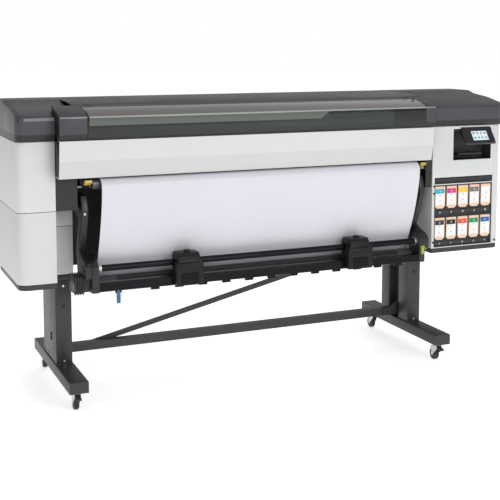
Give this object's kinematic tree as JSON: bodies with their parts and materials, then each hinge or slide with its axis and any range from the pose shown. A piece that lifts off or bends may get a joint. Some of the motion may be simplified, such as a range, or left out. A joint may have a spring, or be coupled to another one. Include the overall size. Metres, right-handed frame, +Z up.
{
  "type": "roll-fed wide-format printer cutter",
  "caption": "Wide roll-fed printer cutter with smoked lid, ink bay and tilting display, on a castered stand with a take-up reel and a hanging sheet",
  "frame": {"origin": "On the floor, under the middle of the machine's overall box", "axes": "+X runs along the machine to its right end, -Y faces the operator, +Z is up"},
  "size_m": [2.544, 0.81, 1.381],
  "materials": {
    "stand_grey": "satin",
    "zinc": "zinc plated",
    "caster_black": "matt",
    "black_plastic": "fine texture",
    "chassis_black": "satin",
    "arm_black": "fine texture",
    "platen_grey": "anodised",
    "cover_white": "fine texture",
    "cap_grey": "fine texture",
    "window_smoke": "smoked clear",
    "rail_grey": "anodised",
    "drive_parts": "satin",
    "carriage_plastic": "satin",
    "blade_steel": "ground",
    "roller_grit": "grit coated",
    "pinch_rubber": "rubber on a steel shaft",
    "media_vinyl": "satin",
    "media_roll_vinyl": "satin",
    "bay_black": "gloss front strip",
    "carton": "plain card",
    "panel_black": "glass screen set in",
    "bar_metal": "anodised",
    "core_black": "satin",
    "lever_blue": "satin",
    "lever_yellow": "satin",
    "lever_green": "satin"
  },
  "bodies": {
    "machine": {"left_foot": "stand_grey", "right_foot": "stand_grey", "left_leg": "stand_grey", "right_leg": "stand_grey", "cross_beam": "stand_grey", "diagonal_brace": "stand_grey", "base_trays": "stand_grey", "stand_hardware": "zinc", "main_beam": "chassis_black", "side_brackets": "chassis_black", "left_arm": "arm_black", "right_arm": "arm_black", "platen": "platen_grey", "rear_panel": "cover_white", "left_cover_upper": "cover_white", "left_cover_lower": "cover_white", "right_cover": "cover_white", "front_panel": "cover_white", "left_cap": "cap_grey", "right_cap": "cap_grey", "top_cover": "cap_grey", "carriage_rail": "rail_grey", "carriage_drive": "drive_parts", "media_sheet": "media_vinyl", "ink_bay": "bay_black", "take_up_bars": "bar_metal"},
    "fork_fl": {"caster_fork_fl": "zinc"},
    "wheel_fl": {"caster_wheel_fl": "caster_black"},
    "fork_fr": {"caster_fork_fr": "zinc"},
    "wheel_fr": {"caster_wheel_fr": "caster_black"},
    "fork_bl": {"caster_fork_bl": "zinc"},
    "wheel_bl": {"caster_wheel_bl": "caster_black"},
    "fork_br": {"caster_fork_br": "zinc"},
    "wheel_br": {"caster_wheel_br": "caster_black"},
    "brake_fl": {"brake_lever_fl": "black_plastic"},
    "brake_fr": {"brake_lever_fr": "black_plastic"},
    "lid": {"lid_frame": "cap_grey", "lid_window": "window_smoke"},
    "carriage": {"carriage": "carriage_plastic"},
    "cutter": {"cutter_wheel": "blade_steel"},
    "feed_roller": {"drive_roller": "roller_grit"},
    "pinch_shaft": {"pinch_rollers": "pinch_rubber"},
    "supply_roll": {"media_roll": "media_roll_vinyl"},
    "ink_1": {"cartridge_1": "carton"},
    "ink_2": {"cartridge_2": "carton"},
    "ink_3": {"cartridge_3": "carton"},
    "ink_4": {"cartridge_4": "carton"},
    "ink_5": {"cartridge_5": "carton"},
    "ink_6": {"cartridge_6": "carton"},
    "ink_7": {"cartridge_7": "carton"},
    "ink_8": {"cartridge_8": "carton"},
    "ink_9": {"cartridge_9": "carton"},
    "ink_10": {"cartridge_10": "carton"},
    "display": {"control_panel": "panel_black"},
    "take_up": {"take_up_core": "core_black"},
    "guide_l": {"left_guide": "black_plastic"},
    "guide_r": {"right_guide": "black_plastic"},
    "blue_lever": {"bar_lever": "lever_blue"},
    "edge_shaft": {"edge_levers": "lever_yellow"},
    "core_lock": {"core_lever": "lever_green"}
  },
  "joints": [
    {"name": "swivel_fl", "type": "hinge", "parent": "machine", "child": "fork_fl", "pos_m": [-1.034, -0.33, 0.084], "axis": [0, 0, 1], "continuous": true},
    {"name": "roll_fl", "type": "hinge", "parent": "fork_fl", "child": "wheel_fl", "pos_m": [-1.034, -0.31, 0.031], "axis": [1, 0, 0], "continuous": true},
    {"name": "swivel_fr", "type": "hinge", "parent": "machine", "child": "fork_fr", "pos_m": [0.866, -0.33, 0.084], "axis": [0, 0, 1], "continuous": true},
    {"name": "roll_fr", "type": "hinge", "parent": "fork_fr", "child": "wheel_fr", "pos_m": [0.866, -0.31, 0.031], "axis": [1, 0, 0], "continuous": true},
    {"name": "swivel_bl", "type": "hinge", "parent": "machine", "child": "fork_bl", "pos_m": [-1.034, 0.33, 0.084], "axis": [0, 0, 1], "continuous": true},
    {"name": "roll_bl", "type": "hinge", "parent": "fork_bl", "child": "wheel_bl", "pos_m": [-1.034, 0.35, 0.031], "axis": [1, 0, 0], "continuous": true},
    {"name": "swivel_br", "type": "hinge", "parent": "machine", "child": "fork_br", "pos_m": [0.866, 0.33, 0.084], "axis": [0, 0, 1], "continuous": true},
    {"name": "roll_br", "type": "hinge", "parent": "fork_br", "child": "wheel_br", "pos_m": [0.866, 0.35, 0.031], "axis": [1, 0, 0], "continuous": true},
    {"name": "brake_fl_press", "type": "hinge", "parent": "fork_fl", "child": "brake_fl", "pos_m": [-1.034, -0.345, 0.071], "axis": [1, 0, 0], "range_deg": [0, 22]},
    {"name": "brake_fr_press", "type": "hinge", "parent": "fork_fr", "child": "brake_fr", "pos_m": [0.866, -0.345, 0.071], "axis": [1, 0, 0], "range_deg": [0, 22]},
    {"name": "lid_hinge", "type": "hinge", "parent": "machine", "child": "lid", "pos_m": [-0.114, -0.236, 1.36], "axis": [-1, 0, 0], "range_deg": [0, 70]},
    {"name": "carriage_slide", "type": "slide", "parent": "machine", "child": "carriage", "axis": [1, 0, 0], "range_m": [-1.58, 0]},
    {"name": "cutter_spin", "type": "hinge", "parent": "carriage", "child": "cutter", "pos_m": [0.6, -0.262, 1.068], "axis": [1, 0, 0], "continuous": true},
    {"name": "feed_roller_spin", "type": "hinge", "parent": "machine", "child": "feed_roller", "pos_m": [-0.1, 0, 1.0197], "axis": [1, 0, 0], "continuous": true},
    {"name": "pinch_spin", "type": "hinge", "parent": "machine", "child": "pinch_shaft", "pos_m": [-0.1, 0, 1.0558], "axis": [1, 0, 0], "continuous": true},
    {"name": "supply_roll_spin", "type": "hinge", "parent": "machine", "child": "supply_roll", "pos_m": [-0.1, 0.305, 0.8], "axis": [1, 0, 0], "continuous": true},
    {"name": "ink_1_pull", "type": "slide", "parent": "machine", "child": "ink_1", "axis": [0, -1, 0], "range_m": [0, 0.25]},
    {"name": "ink_2_pull", "type": "slide", "parent": "machine", "child": "ink_2", "axis": [0, -1, 0], "range_m": [0, 0.25]},
    {"name": "ink_3_pull", "type": "slide", "parent": "machine", "child": "ink_3", "axis": [0, -1, 0], "range_m": [0, 0.25]},
    {"name": "ink_4_pull", "type": "slide", "parent": "machine", "child": "ink_4", "axis": [0, -1, 0], "range_m": [0, 0.25]},
    {"name": "ink_5_pull", "type": "slide", "parent": "machine", "child": "ink_5", "axis": [0, -1, 0], "range_m": [0, 0.25]},
    {"name": "ink_6_pull", "type": "slide", "parent": "machine", "child": "ink_6", "axis": [0, -1, 0], "range_m": [0, 0.25]},
    {"name": "ink_7_pull", "type": "slide", "parent": "machine", "child": "ink_7", "axis": [0, -1, 0], "range_m": [0, 0.25]},
    {"name": "ink_8_pull", "type": "slide", "parent": "machine", "child": "ink_8", "axis": [0, -1, 0], "range_m": [0, 0.25]},
    {"name": "ink_9_pull", "type": "slide", "parent": "machine", "child": "ink_9", "axis": [0, -1, 0], "range_m": [0, 0.25]},
    {"name": "ink_10_pull", "type": "slide", "parent": "machine", "child": "ink_10", "axis": [0, -1, 0], "range_m": [0, 0.25]},
    {"name": "display_tilt", "type": "hinge", "parent": "machine", "child": "display", "pos_m": [1.0865, -0.283, 1.192], "axis": [1, 0, 0], "range_deg": [0, 30]},
    {"name": "take_up_spin", "type": "hinge", "parent": "machine", "child": "take_up", "pos_m": [-0.1, -0.275, 0.556], "axis": [1, 0, 0], "continuous": true},
    {"name": "left_guide_slide", "type": "slide", "parent": "machine", "child": "guide_l", "axis": [1, 0, 0], "range_m": [-0.23, 0.3]},
    {"name": "right_guide_slide", "type": "slide", "parent": "machine", "child": "guide_r", "axis": [1, 0, 0], "range_m": [-0.4, 0.25]},
    {"name": "blue_lever_swing", "type": "hinge", "parent": "machine", "child": "blue_lever", "pos_m": [-0.839, -0.35, 0.532], "axis": [-1, 0, 0], "range_deg": [0, 80]},
    {"name": "edge_lever_swing", "type": "hinge", "parent": "machine", "child": "edge_shaft", "pos_m": [-0.1, -0.27, 1.004], "axis": [1, 0, 0], "range_deg": [0, 30]},
    {"name": "core_lever_swing", "type": "hinge", "parent": "machine", "child": "core_lock", "pos_m": [0.743, -0.3735, 0.612], "axis": [0, -1, 0], "range_deg": [0, 70]}
  ],
  "couplings": [
    {"joint": "pinch_spin", "follows": "feed_roller_spin", "ratio": -2.7778}
  ]
}
